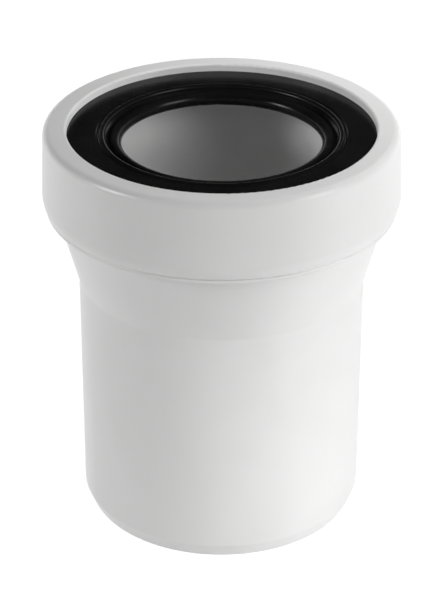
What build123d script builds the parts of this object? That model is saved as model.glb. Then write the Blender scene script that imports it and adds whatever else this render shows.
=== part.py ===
# Straight toilet pan connector: a drain spigot with a flared head, a rubber pan seal, and the collar
# that traps it. Sizes are in millimetres. It stands on the spigot's end, with the drain's axis on Z
# and the seal at the top.
from build123d import *
from math import atan2, cos, sqrt, tan
import os

# Spigot and neck
SPIGOT_RADIUS = 55.0  # outside of the plain drain spigot
SPIGOT_LENGTH = 97.0  # from the spigot's end to the foot of the neck
WALL = 3.2  # moulded wall of the body
END_CHAMFER_DEPTH = 2.2  # lead-in on the spigot's end, across the wall
END_CHAMFER_HEIGHT = 5.5  # the same lead-in, along the spigot
NECK_RISE = 29.45  # height of the flared neck, up to the flange
NECK_BLEND = 2.0  # rounding outside, where the neck leaves the spigot
BORE_BLEND = 18.0  # rounding inside, at both ends of the neck

# Head of the body
SOCKET_STEP = 2.2  # the socket's bore is this much wider in radius than the spigot's outside
SOCKET_RISE = 24.6  # from the flange's top face up to the socket's mouth
SHOULDER_STEP = 2.7  # the neck's top stands this far outside the socket tube
FLANGE_THICKNESS = 1.55  # ledge round the neck's top, which shows as a fine band under the collar
FLANGE_EDGE = 0.5  # rounding of the flange's edges
UPSTAND_HEIGHT = 6.0  # ring on the flange that the collar clips over
UPSTAND_WALL = 1.6
CLIP_DEPTH = 0.6  # how far the clip's ridge stands out of the upstand
CLIP_RISE = 0.9  # height of each of the ridge's two slopes
CLIP_CLEARANCE = 0.15  # between the upstand and the collar

# Rubber seal
SEAL_THICKNESS = 2.9  # flat ring between the socket's mouth and the collar's rim
SEAL_CLEARANCE = 0.2  # each side of the skirt
SKIRT_WALL = 3.0  # skirt over the outside of the socket tube
SKIRT_LENGTH = 13.3
SKIRT_EDGE = 1.0  # chamfer of the skirt's lower edges
SEAL_HOLE_RADIUS = 37.7
LIP_ROUND = 2.6  # radius of the thick lip round the hole
LIP_DROP = 3.9  # from the seal's top face to the middle of the lip
WEB = 2.0  # thin stretch between lip and rib
VALLEY_DEPTH = 2.3  # from the seal's top face down to the web
VALLEY_WIDTH = 0.3  # flat floor between the lip and the rib's slope
RIB_STEP = 7.4  # from the hole's edge out to the middle of the rib
RIB_ROUND = 1.2
RIB_HEIGHT = 0.25  # the rib's top above the seal's top face
GROOVE_WIDTH = 0.9  # fine groove outside the rib
GROOVE_DEPTH = 0.4

# Retaining collar
COLLAR_WALL = 3.2  # at the top of the collar's side
COLLAR_DRAFT = 1.0  # the side is this much wider in radius at its foot
FOOT_ROUND = 10.0  # the foot curves in towards the seam on this radius
FOOT_INSET = 1.35  # how far it has come in where it meets the flange
RIM_THICKNESS = 3.0  # from the seal up to the rim's flat top
RIM_REACH = 5.7  # from the collar's bore in over the seal
RIM_SLOPE = 0.2  # draft of the rim's opening, which is this much wider in radius at the top
RIM_ROUND = 3.0  # outer edge of the rim
RIM_EDGE = 0.9  # inner edge of the rim
SEAM_EDGE = 0.35  # fine chamfer of the foot's edge, at the seam

# Radii, from the bore outwards
bore_radius = SPIGOT_RADIUS - WALL
end_radius = SPIGOT_RADIUS - END_CHAMFER_DEPTH
socket_radius = SPIGOT_RADIUS + SOCKET_STEP
socket_outside = socket_radius + WALL
shoulder_radius = socket_outside + SHOULDER_STEP
skirt_inside = socket_outside + SEAL_CLEARANCE
skirt_outside = skirt_inside + SKIRT_WALL
collar_inside = skirt_outside + SEAL_CLEARANCE
collar_top_radius = collar_inside + COLLAR_WALL
collar_foot_radius = collar_top_radius + COLLAR_DRAFT
flange_radius = collar_foot_radius - FOOT_INSET
upstand_outside = collar_inside - CLIP_CLEARANCE
upstand_inside = upstand_outside - UPSTAND_WALL
rim_opening = collar_inside - RIM_REACH

# Heights, from the spigot's end upwards
neck_top = SPIGOT_LENGTH + NECK_RISE
seam_height = neck_top + FLANGE_THICKNESS
clip_height = seam_height + UPSTAND_HEIGHT / 2
upstand_top = seam_height + UPSTAND_HEIGHT
mouth_height = seam_height + SOCKET_RISE
seal_top = mouth_height + SEAL_THICKNESS
skirt_foot = seal_top - SKIRT_LENGTH
collar_top = seal_top + RIM_THICKNESS
foot_top = seam_height + sqrt(FOOT_ROUND**2 - (FOOT_ROUND - FOOT_INSET) ** 2)

# The neck's inner face is parallel to its outer face, one wall away.
neck_angle = atan2(shoulder_radius - SPIGOT_RADIUS, NECK_RISE)
slant_wall = WALL / cos(neck_angle)
inner_neck_foot = SPIGOT_LENGTH + (slant_wall - WALL) / tan(neck_angle)
inner_neck_top = SPIGOT_LENGTH + (SOCKET_STEP + slant_wall) / tan(neck_angle)

# Rings of the seal, from the hole outwards
lip_radius = SEAL_HOLE_RADIUS + LIP_ROUND
lip_height = seal_top - LIP_DROP
valley_radius = lip_radius + LIP_ROUND + VALLEY_WIDTH
valley_height = seal_top - VALLEY_DEPTH
rib_radius = SEAL_HOLE_RADIUS + RIB_STEP
rib_height = seal_top + RIB_HEIGHT - RIB_ROUND
groove_radius = rib_radius + RIB_ROUND + GROOVE_WIDTH / 2


def disc(radius, across, up):
    """A round bead of a section, by its radius and its middle."""
    return Pos(across, up) * Circle(radius)


def eased(section, ease, size, *corners):
    """The section with a fillet or a chamfer of the given size at each named corner."""
    for across, up in corners:
        corner = section.vertices().sort_by_distance((across, up, 0))[0]
        section = ease(corner, size)
    return section


def clip(radius):
    """The outline of the clip's ridge, from its foot up, on a wall of the given radius."""
    return [
        (radius, clip_height - CLIP_RISE),
        (radius + CLIP_DEPTH, clip_height),
        (radius, clip_height + CLIP_RISE),
    ]


def turned(section):
    """A ring: the section, drawn as radius and height, swept once round the drain's axis."""
    return revolve(Plane.XZ * section, Axis.Z)


def body():
    """Spigot, neck, flange, upstand for the collar, and the socket tube, in one moulding."""
    section = make_face(
        Polyline(
            (bore_radius, 0),
            (end_radius, 0),
            (SPIGOT_RADIUS, END_CHAMFER_HEIGHT),
            (SPIGOT_RADIUS, SPIGOT_LENGTH),
            (shoulder_radius, neck_top),
            (flange_radius, neck_top),
            (flange_radius, seam_height),
            (upstand_outside, seam_height),
            *clip(upstand_outside),
            (upstand_outside, upstand_top),
            (upstand_inside, upstand_top),
            (upstand_inside, seam_height),
            (socket_outside, seam_height),
            (socket_outside, mouth_height),
            (socket_radius, mouth_height),
            (socket_radius, inner_neck_top),
            (bore_radius, inner_neck_foot),
            close=True,
        )
    )
    section = eased(section, fillet, NECK_BLEND, (SPIGOT_RADIUS, SPIGOT_LENGTH))
    section = eased(
        section, fillet, BORE_BLEND, (bore_radius, inner_neck_foot), (socket_radius, inner_neck_top)
    )
    section = eased(section, fillet, FLANGE_EDGE, (flange_radius, neck_top), (flange_radius, seam_height))
    return turned(section)


def pan_seal():
    """Skirt and flat ring, a groove, a low rib, and the thick lip that grips the pan's outlet."""
    section = make_face(
        Polyline(
            (skirt_outside, skirt_foot),
            (skirt_outside, seal_top),
            (groove_radius + GROOVE_WIDTH / 2, seal_top),
            (groove_radius, seal_top - GROOVE_DEPTH),
            (groove_radius - GROOVE_WIDTH / 2, seal_top),
            (rib_radius, seal_top),
            (valley_radius, valley_height),
            (lip_radius, valley_height),
            (lip_radius, valley_height - WEB),
            (valley_radius, valley_height - WEB),
            (groove_radius, mouth_height),
            (skirt_inside, mouth_height),
            (skirt_inside, skirt_foot),
            close=True,
        )
    )
    section = eased(section, chamfer, SKIRT_EDGE, (skirt_outside, skirt_foot), (skirt_inside, skirt_foot))
    section += disc(LIP_ROUND, lip_radius, lip_height)
    section += disc(RIB_ROUND, rib_radius, rib_height)
    return turned(section)


def retaining_collar():
    """Cap ring: its side stands on the body's flange, and its rim reaches in over the seal."""
    foot = RadiusArc((flange_radius, seam_height), (collar_foot_radius, foot_top), -FOOT_ROUND)
    side = Polyline(
        (collar_foot_radius, foot_top),
        (collar_top_radius, collar_top),
        (rim_opening + RIM_SLOPE, collar_top),
        (rim_opening, seal_top),
        (collar_inside, seal_top),
        *reversed(clip(collar_inside)),
        (collar_inside, seam_height),
        (flange_radius, seam_height),
    )
    section = make_face(Curve() + [foot, side])
    section = eased(section, fillet, RIM_ROUND, (collar_top_radius, collar_top))
    section = eased(section, fillet, RIM_EDGE, (rim_opening + RIM_SLOPE, collar_top))
    section = eased(section, chamfer, SEAM_EDGE, (flange_radius, seam_height))
    return turned(section)


os.makedirs("parts", exist_ok=True)
for piece in (body, pan_seal, retaining_collar):
    export_step(piece(), f"parts/{piece.__name__}.step")
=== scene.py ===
from math import cos, radians, sin

import bpy
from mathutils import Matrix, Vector

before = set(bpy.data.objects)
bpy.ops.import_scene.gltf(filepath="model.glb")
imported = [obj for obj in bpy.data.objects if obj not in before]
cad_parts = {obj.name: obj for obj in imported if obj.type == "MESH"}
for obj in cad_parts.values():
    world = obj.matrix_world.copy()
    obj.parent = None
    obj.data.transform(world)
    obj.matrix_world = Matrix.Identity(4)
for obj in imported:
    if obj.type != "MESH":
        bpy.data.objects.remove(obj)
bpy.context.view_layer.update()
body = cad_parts["body"]
pan_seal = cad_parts["pan_seal"]
retaining_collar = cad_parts["retaining_collar"]

# Lengths are in metres, angles in degrees, and colours are linear, with their alpha.
WHITE = (1.0, 1.0, 1.0, 1.0)
BLACK = (0.0, 0.0, 0.0, 1.0)
FULL_RANGE = (0.0, 1.0)

# Marks of the mould and of handling
DRAW_SCALE = (150.0, 150.0, 5.0)  # the draw marks run along Z, 30 times as long as they are wide
NOISE_MIDDLE = (0.3, 0.7)  # most of a noise lies between these two values
BARE_SHARE = 0.86  # this share of the cells has no speck
DUST = (0.0, 0.08)  # how far a speck covers the colour under it

# White plastic. The denoiser has a step at a roughness of about 0.27, where marks turn into dark ticks.
# So this roughness stays at 0.28 or more, streaks and all, and the rubber's stays at 0.25 or less.
PLASTIC_SHADES = ((0.806, 0.806, 0.802, 1.0), (0.834, 0.834, 0.831, 1.0))
PLASTIC_DUST = (0.42, 0.41, 0.39, 1.0)
PLASTIC_ROUGHNESS = (0.3, 0.335)
PLASTIC_STREAK = (-0.02, 0.02)
PLASTIC_RELIEF = 0.00002
PLASTIC_IOR = 1.49

# Black rubber
RUBBER_SHADES = ((0.0055, 0.0055, 0.0055, 1.0), (0.0085, 0.0085, 0.0085, 1.0))
RUBBER_DUST = (0.12, 0.12, 0.115, 1.0)
RUBBER_ROUGHNESS = (0.2, 0.25)
RUBBER_RELIEF = 0.00003
RUBBER_IOR = 1.5
RUBBER_SPECULAR = 0.16

# Floor and room
FLOOR_WIDTH = 60.0
FLOOR_COLOUR = (0.8, 0.8, 0.8, 1.0)  # as it sends light back to the object
FLOOR_SHADE = (0.3, 0.3, 0.3, 1.0)  # what it adds to its glow where it is seen
FLOOR_GLOW = (0.93, 1.0)
GLOW_RISE = (0.2, 1.0)  # the glow grows between these distances from the drain's axis
BORE_FLOOR = 0.0525  # nearer than this the floor is inside the spigot's end and doesn't glow
HORIZON_FADE = (0.14, 0.22)  # the room goes from white to black between these rises, given as sines
ROOM_LIGHT = (0.44, 1.0)  # strength of the room as a light, and where it is seen

# Camera
CAMERA_PLACE = (0.0, -0.75326, 0.49739)
CAMERA_TURN = (61.1543, -0.0754, 0.1433)
CAMERA_LENS = 131.12  # in millimetres, as is the sensor
CAMERA_SENSOR = 36.0
CAMERA_CLIP = (0.01, 100.0)

# The Mix node's sockets for colours
MIX_UNDER = 6
MIX_OVER = 7
MIX_RESULT = 2


def set_constants(made, values):
    """Sets the constants on a node's own sockets, with _ in a name for a space."""
    for name, value in values.items():
        made.inputs[name.replace("_", " ")].default_value = value


def node(tree, kind, place, **values):
    """Adds a node at a place on the sheet, with its constants."""
    made = tree.nodes.new(kind)
    made.location = place
    set_constants(made, values)
    return made


def feed(tree, value, socket):
    """Links a socket to another one, or sets it to a number or a colour."""
    if isinstance(value, bpy.types.NodeSocket):
        tree.links.new(value, socket)
    else:
        socket.default_value = value


def maths(tree, operation, place, first, second):
    """The result of one Math node on two values, each a number or a socket."""
    made = node(tree, "ShaderNodeMath", place)
    made.operation = operation
    feed(tree, first, made.inputs[0])
    feed(tree, second, made.inputs[1])
    return made.outputs[0]


def noise(tree, place, vector, scale, **values):
    """A noise over the surface, whose scale is a number or a socket."""
    made = node(tree, "ShaderNodeTexNoise", place, **values)
    tree.links.new(vector, made.inputs["Vector"])
    feed(tree, scale, made.inputs["Scale"])
    return made.outputs["Fac"]


def spread(tree, source, place, wanted, given=NOISE_MIDDLE):
    """Maps a value to the wanted range from the given one, which is the middle of a noise unless named."""
    ramp = node(tree, "ShaderNodeMapRange", place, From_Min=given[0], From_Max=given[1])
    set_constants(ramp, {"To_Min": wanted[0], "To_Max": wanted[1]})
    tree.links.new(source, ramp.inputs["Value"])
    return ramp.outputs["Result"]


def blend_colour(tree, mask, place, under, over):
    """A colour that goes from under to over as the mask rises; each of them is a colour or a socket."""
    mix = node(tree, "ShaderNodeMix", place)
    mix.data_type = "RGBA"
    tree.links.new(mask, mix.inputs["Factor"])
    feed(tree, under, mix.inputs[MIX_UNDER])
    feed(tree, over, mix.inputs[MIX_OVER])
    return mix.outputs[MIX_RESULT]


def bump(tree, place, height, strength, distance):
    """A Bump node that reads its height from a socket."""
    made = node(tree, "ShaderNodeBump", place, Strength=strength, Distance=distance)
    tree.links.new(height, made.inputs["Height"])
    return made


def new_group(name, values, marks):
    """An empty shader node group: a Vector and named values go in, and named marks come out."""
    tree = bpy.data.node_groups.new(name, "ShaderNodeTree")
    tree.interface.new_socket("Vector", in_out="INPUT", socket_type="NodeSocketVector")
    for socket in values:
        tree.interface.new_socket(socket, in_out="INPUT", socket_type="NodeSocketFloat")
    for socket in marks:
        tree.interface.new_socket(socket, in_out="OUTPUT", socket_type="NodeSocketFloat")
    start = node(tree, "NodeGroupInput", (-900, 0))
    end = node(tree, "NodeGroupOutput", (700, 0))
    return tree, start, end


def moulded_skin():
    """What a mould leaves on any of these pieces: cloudy flow, long draw marks and a fine grain."""
    tree, start, end = new_group("moulded_skin", ("Flow Scale", "Grain Scale"), ("Flow", "Draw", "Grain"))
    link = tree.links.new
    here = start.outputs["Vector"]
    flow_scale = start.outputs["Flow Scale"]
    flow = noise(tree, (-400, 250), here, flow_scale, Detail=3.0, Roughness=0.55, Distortion=0.4)
    link(flow, end.inputs["Flow"])
    along = node(tree, "ShaderNodeMapping", (-650, -20), Scale=DRAW_SCALE)
    link(here, along.inputs["Vector"])
    draw = noise(tree, (-400, -20), along.outputs["Vector"], 1.0, Detail=1.0, Roughness=0.5)
    link(draw, end.inputs["Draw"])
    grain = noise(tree, (-400, -300), here, start.outputs["Grain Scale"], Detail=2.0, Roughness=0.5)
    link(grain, end.inputs["Grain"])
    return tree


def handling_specks():
    """Sparse specks of dust and small rubs, as a mask from 0 to 1; their size is a share of a cell."""
    tree, start, end = new_group("handling_specks", ("Scale", "Size"), ("Mask",))
    cells = node(tree, "ShaderNodeTexVoronoi", (-500, 150), Randomness=1.0)
    tree.links.new(start.outputs["Vector"], cells.inputs["Vector"])
    tree.links.new(start.outputs["Scale"], cells.inputs["Scale"])
    inside = maths(tree, "LESS_THAN", (-250, 150), cells.outputs["Distance"], start.outputs["Size"])
    chance = node(tree, "ShaderNodeSeparateColor", (-250, -50))
    tree.links.new(cells.outputs["Color"], chance.inputs["Color"])
    chosen = maths(tree, "GREATER_THAN", (-20, -50), chance.outputs["Red"], BARE_SHARE)
    speck = maths(tree, "MULTIPLY", (220, 80), inside, chosen)
    tree.links.new(speck, end.inputs["Mask"])
    return tree


def use_group(tree, group, place, vector, **values):
    """Places a node group in a material, with the material's own values."""
    made = node(tree, "ShaderNodeGroup", place)
    made.node_tree = group
    set_constants(made, values)
    tree.links.new(vector, made.inputs["Vector"])
    return made


def cleared_tree(owner):
    """The emptied node tree of a material or a world."""
    owner.use_nodes = True
    owner.node_tree.nodes.clear()
    return owner.node_tree


def start_material(name):
    """A node material with its surface shader and Object coordinates."""
    material = bpy.data.materials.new(name)
    tree = cleared_tree(material)
    output = node(tree, "ShaderNodeOutputMaterial", (900, 0))
    surface = node(tree, "ShaderNodeBsdfPrincipled", (600, 0))
    tree.links.new(surface.outputs["BSDF"], output.inputs["Surface"])
    place = node(tree, "ShaderNodeTexCoord", (-900, 0))
    return material, tree, surface, place.outputs["Object"]


def dusted_colour(tree, marks, specks, shades, dust):
    """Two shades that follow the mould's flow, under specks of dust."""
    cloudy = spread(tree, marks.outputs["Flow"], (-400, 350), FULL_RANGE)
    colour = blend_colour(tree, cloudy, (-150, 350), *shades)
    dusty = spread(tree, specks.outputs["Mask"], (-400, -250), DUST)
    return blend_colour(tree, dusty, (100, 350), colour, dust)


def satin_white_plastic(skin, specks):
    """White moulded plastic: faint clouds, draw marks in the gloss, a fine grain and a little dust."""
    material, tree, surface, here = start_material("satin_white_plastic")
    link = tree.links.new
    marks = use_group(tree, skin, (-650, 200), here, Flow_Scale=26.0, Grain_Scale=2400.0)
    dust = use_group(tree, specks, (-650, -250), here, Scale=95.0, Size=0.035)
    link(dusted_colour(tree, marks, dust, PLASTIC_SHADES, PLASTIC_DUST), surface.inputs["Base Color"])
    gloss = spread(tree, marks.outputs["Flow"], (-400, 80), PLASTIC_ROUGHNESS)
    streak = spread(tree, marks.outputs["Draw"], (-400, -80), PLASTIC_STREAK)
    link(maths(tree, "ADD", (-150, 0), gloss, streak), surface.inputs["Roughness"])
    lines = bump(tree, (100, -250), marks.outputs["Draw"], strength=0.08, distance=PLASTIC_RELIEF)
    fine = bump(tree, (330, -250), marks.outputs["Grain"], strength=0.3, distance=PLASTIC_RELIEF)
    link(lines.outputs["Normal"], fine.inputs["Normal"])
    link(fine.outputs["Normal"], surface.inputs["Normal"])
    surface.inputs["IOR"].default_value = PLASTIC_IOR
    return material


def black_seal_rubber(skin, specks):
    """Smooth black rubber with a soft shine, a fine grain and some dust."""
    material, tree, surface, here = start_material("black_seal_rubber")
    link = tree.links.new
    marks = use_group(tree, skin, (-650, 200), here, Flow_Scale=70.0, Grain_Scale=3200.0)
    dust = use_group(tree, specks, (-650, -250), here, Scale=260.0, Size=0.06)
    link(dusted_colour(tree, marks, dust, RUBBER_SHADES, RUBBER_DUST), surface.inputs["Base Color"])
    link(spread(tree, marks.outputs["Flow"], (-400, 80), RUBBER_ROUGHNESS), surface.inputs["Roughness"])
    fine = bump(tree, (330, -250), marks.outputs["Grain"], strength=0.35, distance=RUBBER_RELIEF)
    link(fine.outputs["Normal"], surface.inputs["Normal"])
    surface.inputs["IOR"].default_value = RUBBER_IOR
    surface.inputs["Specular IOR Level"].default_value = RUBBER_SPECULAR
    return material


def finish_with(piece, material):
    """Gives a piece one material all over."""
    piece.data.materials.clear()
    piece.data.materials.append(material)


def seen_directly(tree, place):
    """1 for rays from the camera, a mirror or glass, and 0 for the rays that carry light."""
    across, up = place
    path = node(tree, "ShaderNodeLightPath", place)
    seen = path.outputs["Is Camera Ray"]
    for step, name in enumerate(("Is Glossy Ray", "Is Transmission Ray"), start=1):
        seen = maths(tree, "MAXIMUM", (across + 200 * step, up), seen, path.outputs[name])
    return seen


def white_floor():
    """A wide floor that is white where it is seen, apart from the shaded patch inside the spigot's end."""
    bpy.ops.object.select_all(action="DESELECT")
    bpy.ops.mesh.primitive_plane_add(size=FLOOR_WIDTH, location=(0.0, 0.0, 0.0))
    floor = bpy.context.object
    floor.name = "floor"
    material = bpy.data.materials.new("white_floor")
    tree = cleared_tree(material)
    link = tree.links.new
    output = node(tree, "ShaderNodeOutputMaterial", (700, 0))
    lit = node(tree, "ShaderNodeBsdfDiffuse", (0, 150), Color=FLOOR_COLOUR)
    shaded = node(tree, "ShaderNodeBsdfDiffuse", (0, -50), Color=FLOOR_SHADE)
    glow = node(tree, "ShaderNodeEmission", (0, -200), Color=WHITE)
    place = node(tree, "ShaderNodeTexCoord", (-900, -250))
    radius = node(tree, "ShaderNodeVectorMath", (-700, -250))
    radius.operation = "LENGTH"
    link(place.outputs["Object"], radius.inputs[0])
    from_axis = radius.outputs["Value"]
    link(spread(tree, from_axis, (-250, -300), FLOOR_GLOW, given=GLOW_RISE), glow.inputs["Strength"])
    open_floor = maths(tree, "GREATER_THAN", (-450, -150), from_axis, BORE_FLOOR)
    glows = maths(tree, "MULTIPLY", (0, 330), seen_directly(tree, (-700, 300)), open_floor)
    pale = node(tree, "ShaderNodeAddShader", (220, -100))
    link(shaded.outputs[0], pale.inputs[0])
    link(glow.outputs[0], pale.inputs[1])
    choice = node(tree, "ShaderNodeMixShader", (460, 0))
    link(glows, choice.inputs[0])
    link(lit.outputs[0], choice.inputs[1])
    link(pale.outputs[0], choice.inputs[2])
    link(choice.outputs[0], output.inputs["Surface"])
    finish_with(floor, material)


def studio_world():
    """A dark room with a band at the horizon, which is white where it is seen and dimmer as a light."""
    world = bpy.data.worlds.new("studio")
    bpy.context.scene.world = world
    tree = cleared_tree(world)
    link = tree.links.new
    output = node(tree, "ShaderNodeOutputWorld", (500, 0))
    background = node(tree, "ShaderNodeBackground", (250, 0))
    strength = spread(tree, seen_directly(tree, (-700, -300)), (0, -200), ROOM_LIGHT, given=FULL_RANGE)
    link(strength, background.inputs["Strength"])
    place = node(tree, "ShaderNodeTexCoord", (-700, 0))
    split = node(tree, "ShaderNodeSeparateXYZ", (-500, 0))
    link(place.outputs["Generated"], split.inputs["Vector"])
    height = spread(tree, split.outputs["Z"], (-280, 0), FULL_RANGE, given=HORIZON_FADE)
    link(blend_colour(tree, height, (0, 0), WHITE, BLACK), background.inputs["Color"])
    link(background.outputs[0], output.inputs["Surface"])


def softbox(name, turn, rise, distance, aim_height, size, power, mirrored=True):
    """A square lamp that faces the object's axis; turn 0 is the camera's side, and it grows to the right.

    A lamp that isn't mirrored gives soft light but no highlight.
    """
    turn = radians(turn)
    rise = radians(rise)
    away = Vector((sin(turn) * cos(rise), -cos(turn) * cos(rise), sin(rise)))
    bpy.ops.object.light_add(type="AREA", location=Vector((0.0, 0.0, aim_height)) + distance * away)
    lamp = bpy.context.object
    lamp.name = name
    lamp.rotation_euler = away.to_track_quat("Z", "Y").to_euler()
    lamp.data.shape = "SQUARE"
    lamp.data.size = size
    lamp.data.energy = power
    lamp.visible_camera = False
    lamp.visible_glossy = mirrored


def studio_lamps():
    """A near key on the right, a far one on the left, low fills at the foot, and fills for the back."""
    softbox("right_softbox", turn=60.0, rise=31.0, distance=0.45, aim_height=0.12, size=0.20, power=0.76)
    softbox(
        "front_right_softbox",
        turn=62.0, rise=12.0, distance=2.5, aim_height=0.08, size=1.2, power=15.5, mirrored=False,
    )
    softbox("left_softbox", turn=-72.0, rise=24.0, distance=2.5, aim_height=0.08, size=0.75, power=25.5)
    softbox(
        "low_fill",
        turn=45.0, rise=0.0, distance=0.18, aim_height=0.020, size=0.06, power=0.037, mirrored=False,
    )
    softbox(
        "foot_fill",
        turn=10.0, rise=0.0, distance=0.18, aim_height=0.015, size=0.05, power=0.024, mirrored=False,
    )
    softbox(
        "back_softbox",
        turn=136.0, rise=45.0, distance=0.27, aim_height=0.14, size=0.14, power=0.37, mirrored=False,
    )
    softbox(
        "rear_fill",
        turn=-155.0, rise=12.0, distance=2.5, aim_height=0.08, size=1.0, power=14.0, mirrored=False,
    )


def photo_camera():
    """The camera at the photograph's viewing angle."""
    bpy.ops.object.camera_add(location=CAMERA_PLACE, rotation=[radians(angle) for angle in CAMERA_TURN])
    camera = bpy.context.object
    camera.data.sensor_width = CAMERA_SENSOR
    camera.data.lens = CAMERA_LENS
    camera.data.clip_start, camera.data.clip_end = CAMERA_CLIP
    bpy.context.scene.camera = camera


skin = moulded_skin()
specks = handling_specks()
white = satin_white_plastic(skin, specks)
rubber = black_seal_rubber(skin, specks)
finish_with(body, white)
finish_with(retaining_collar, white)
finish_with(pan_seal, rubber)

white_floor()
studio_world()
studio_lamps()
photo_camera()
bpy.context.scene.view_settings.view_transform = "Standard"
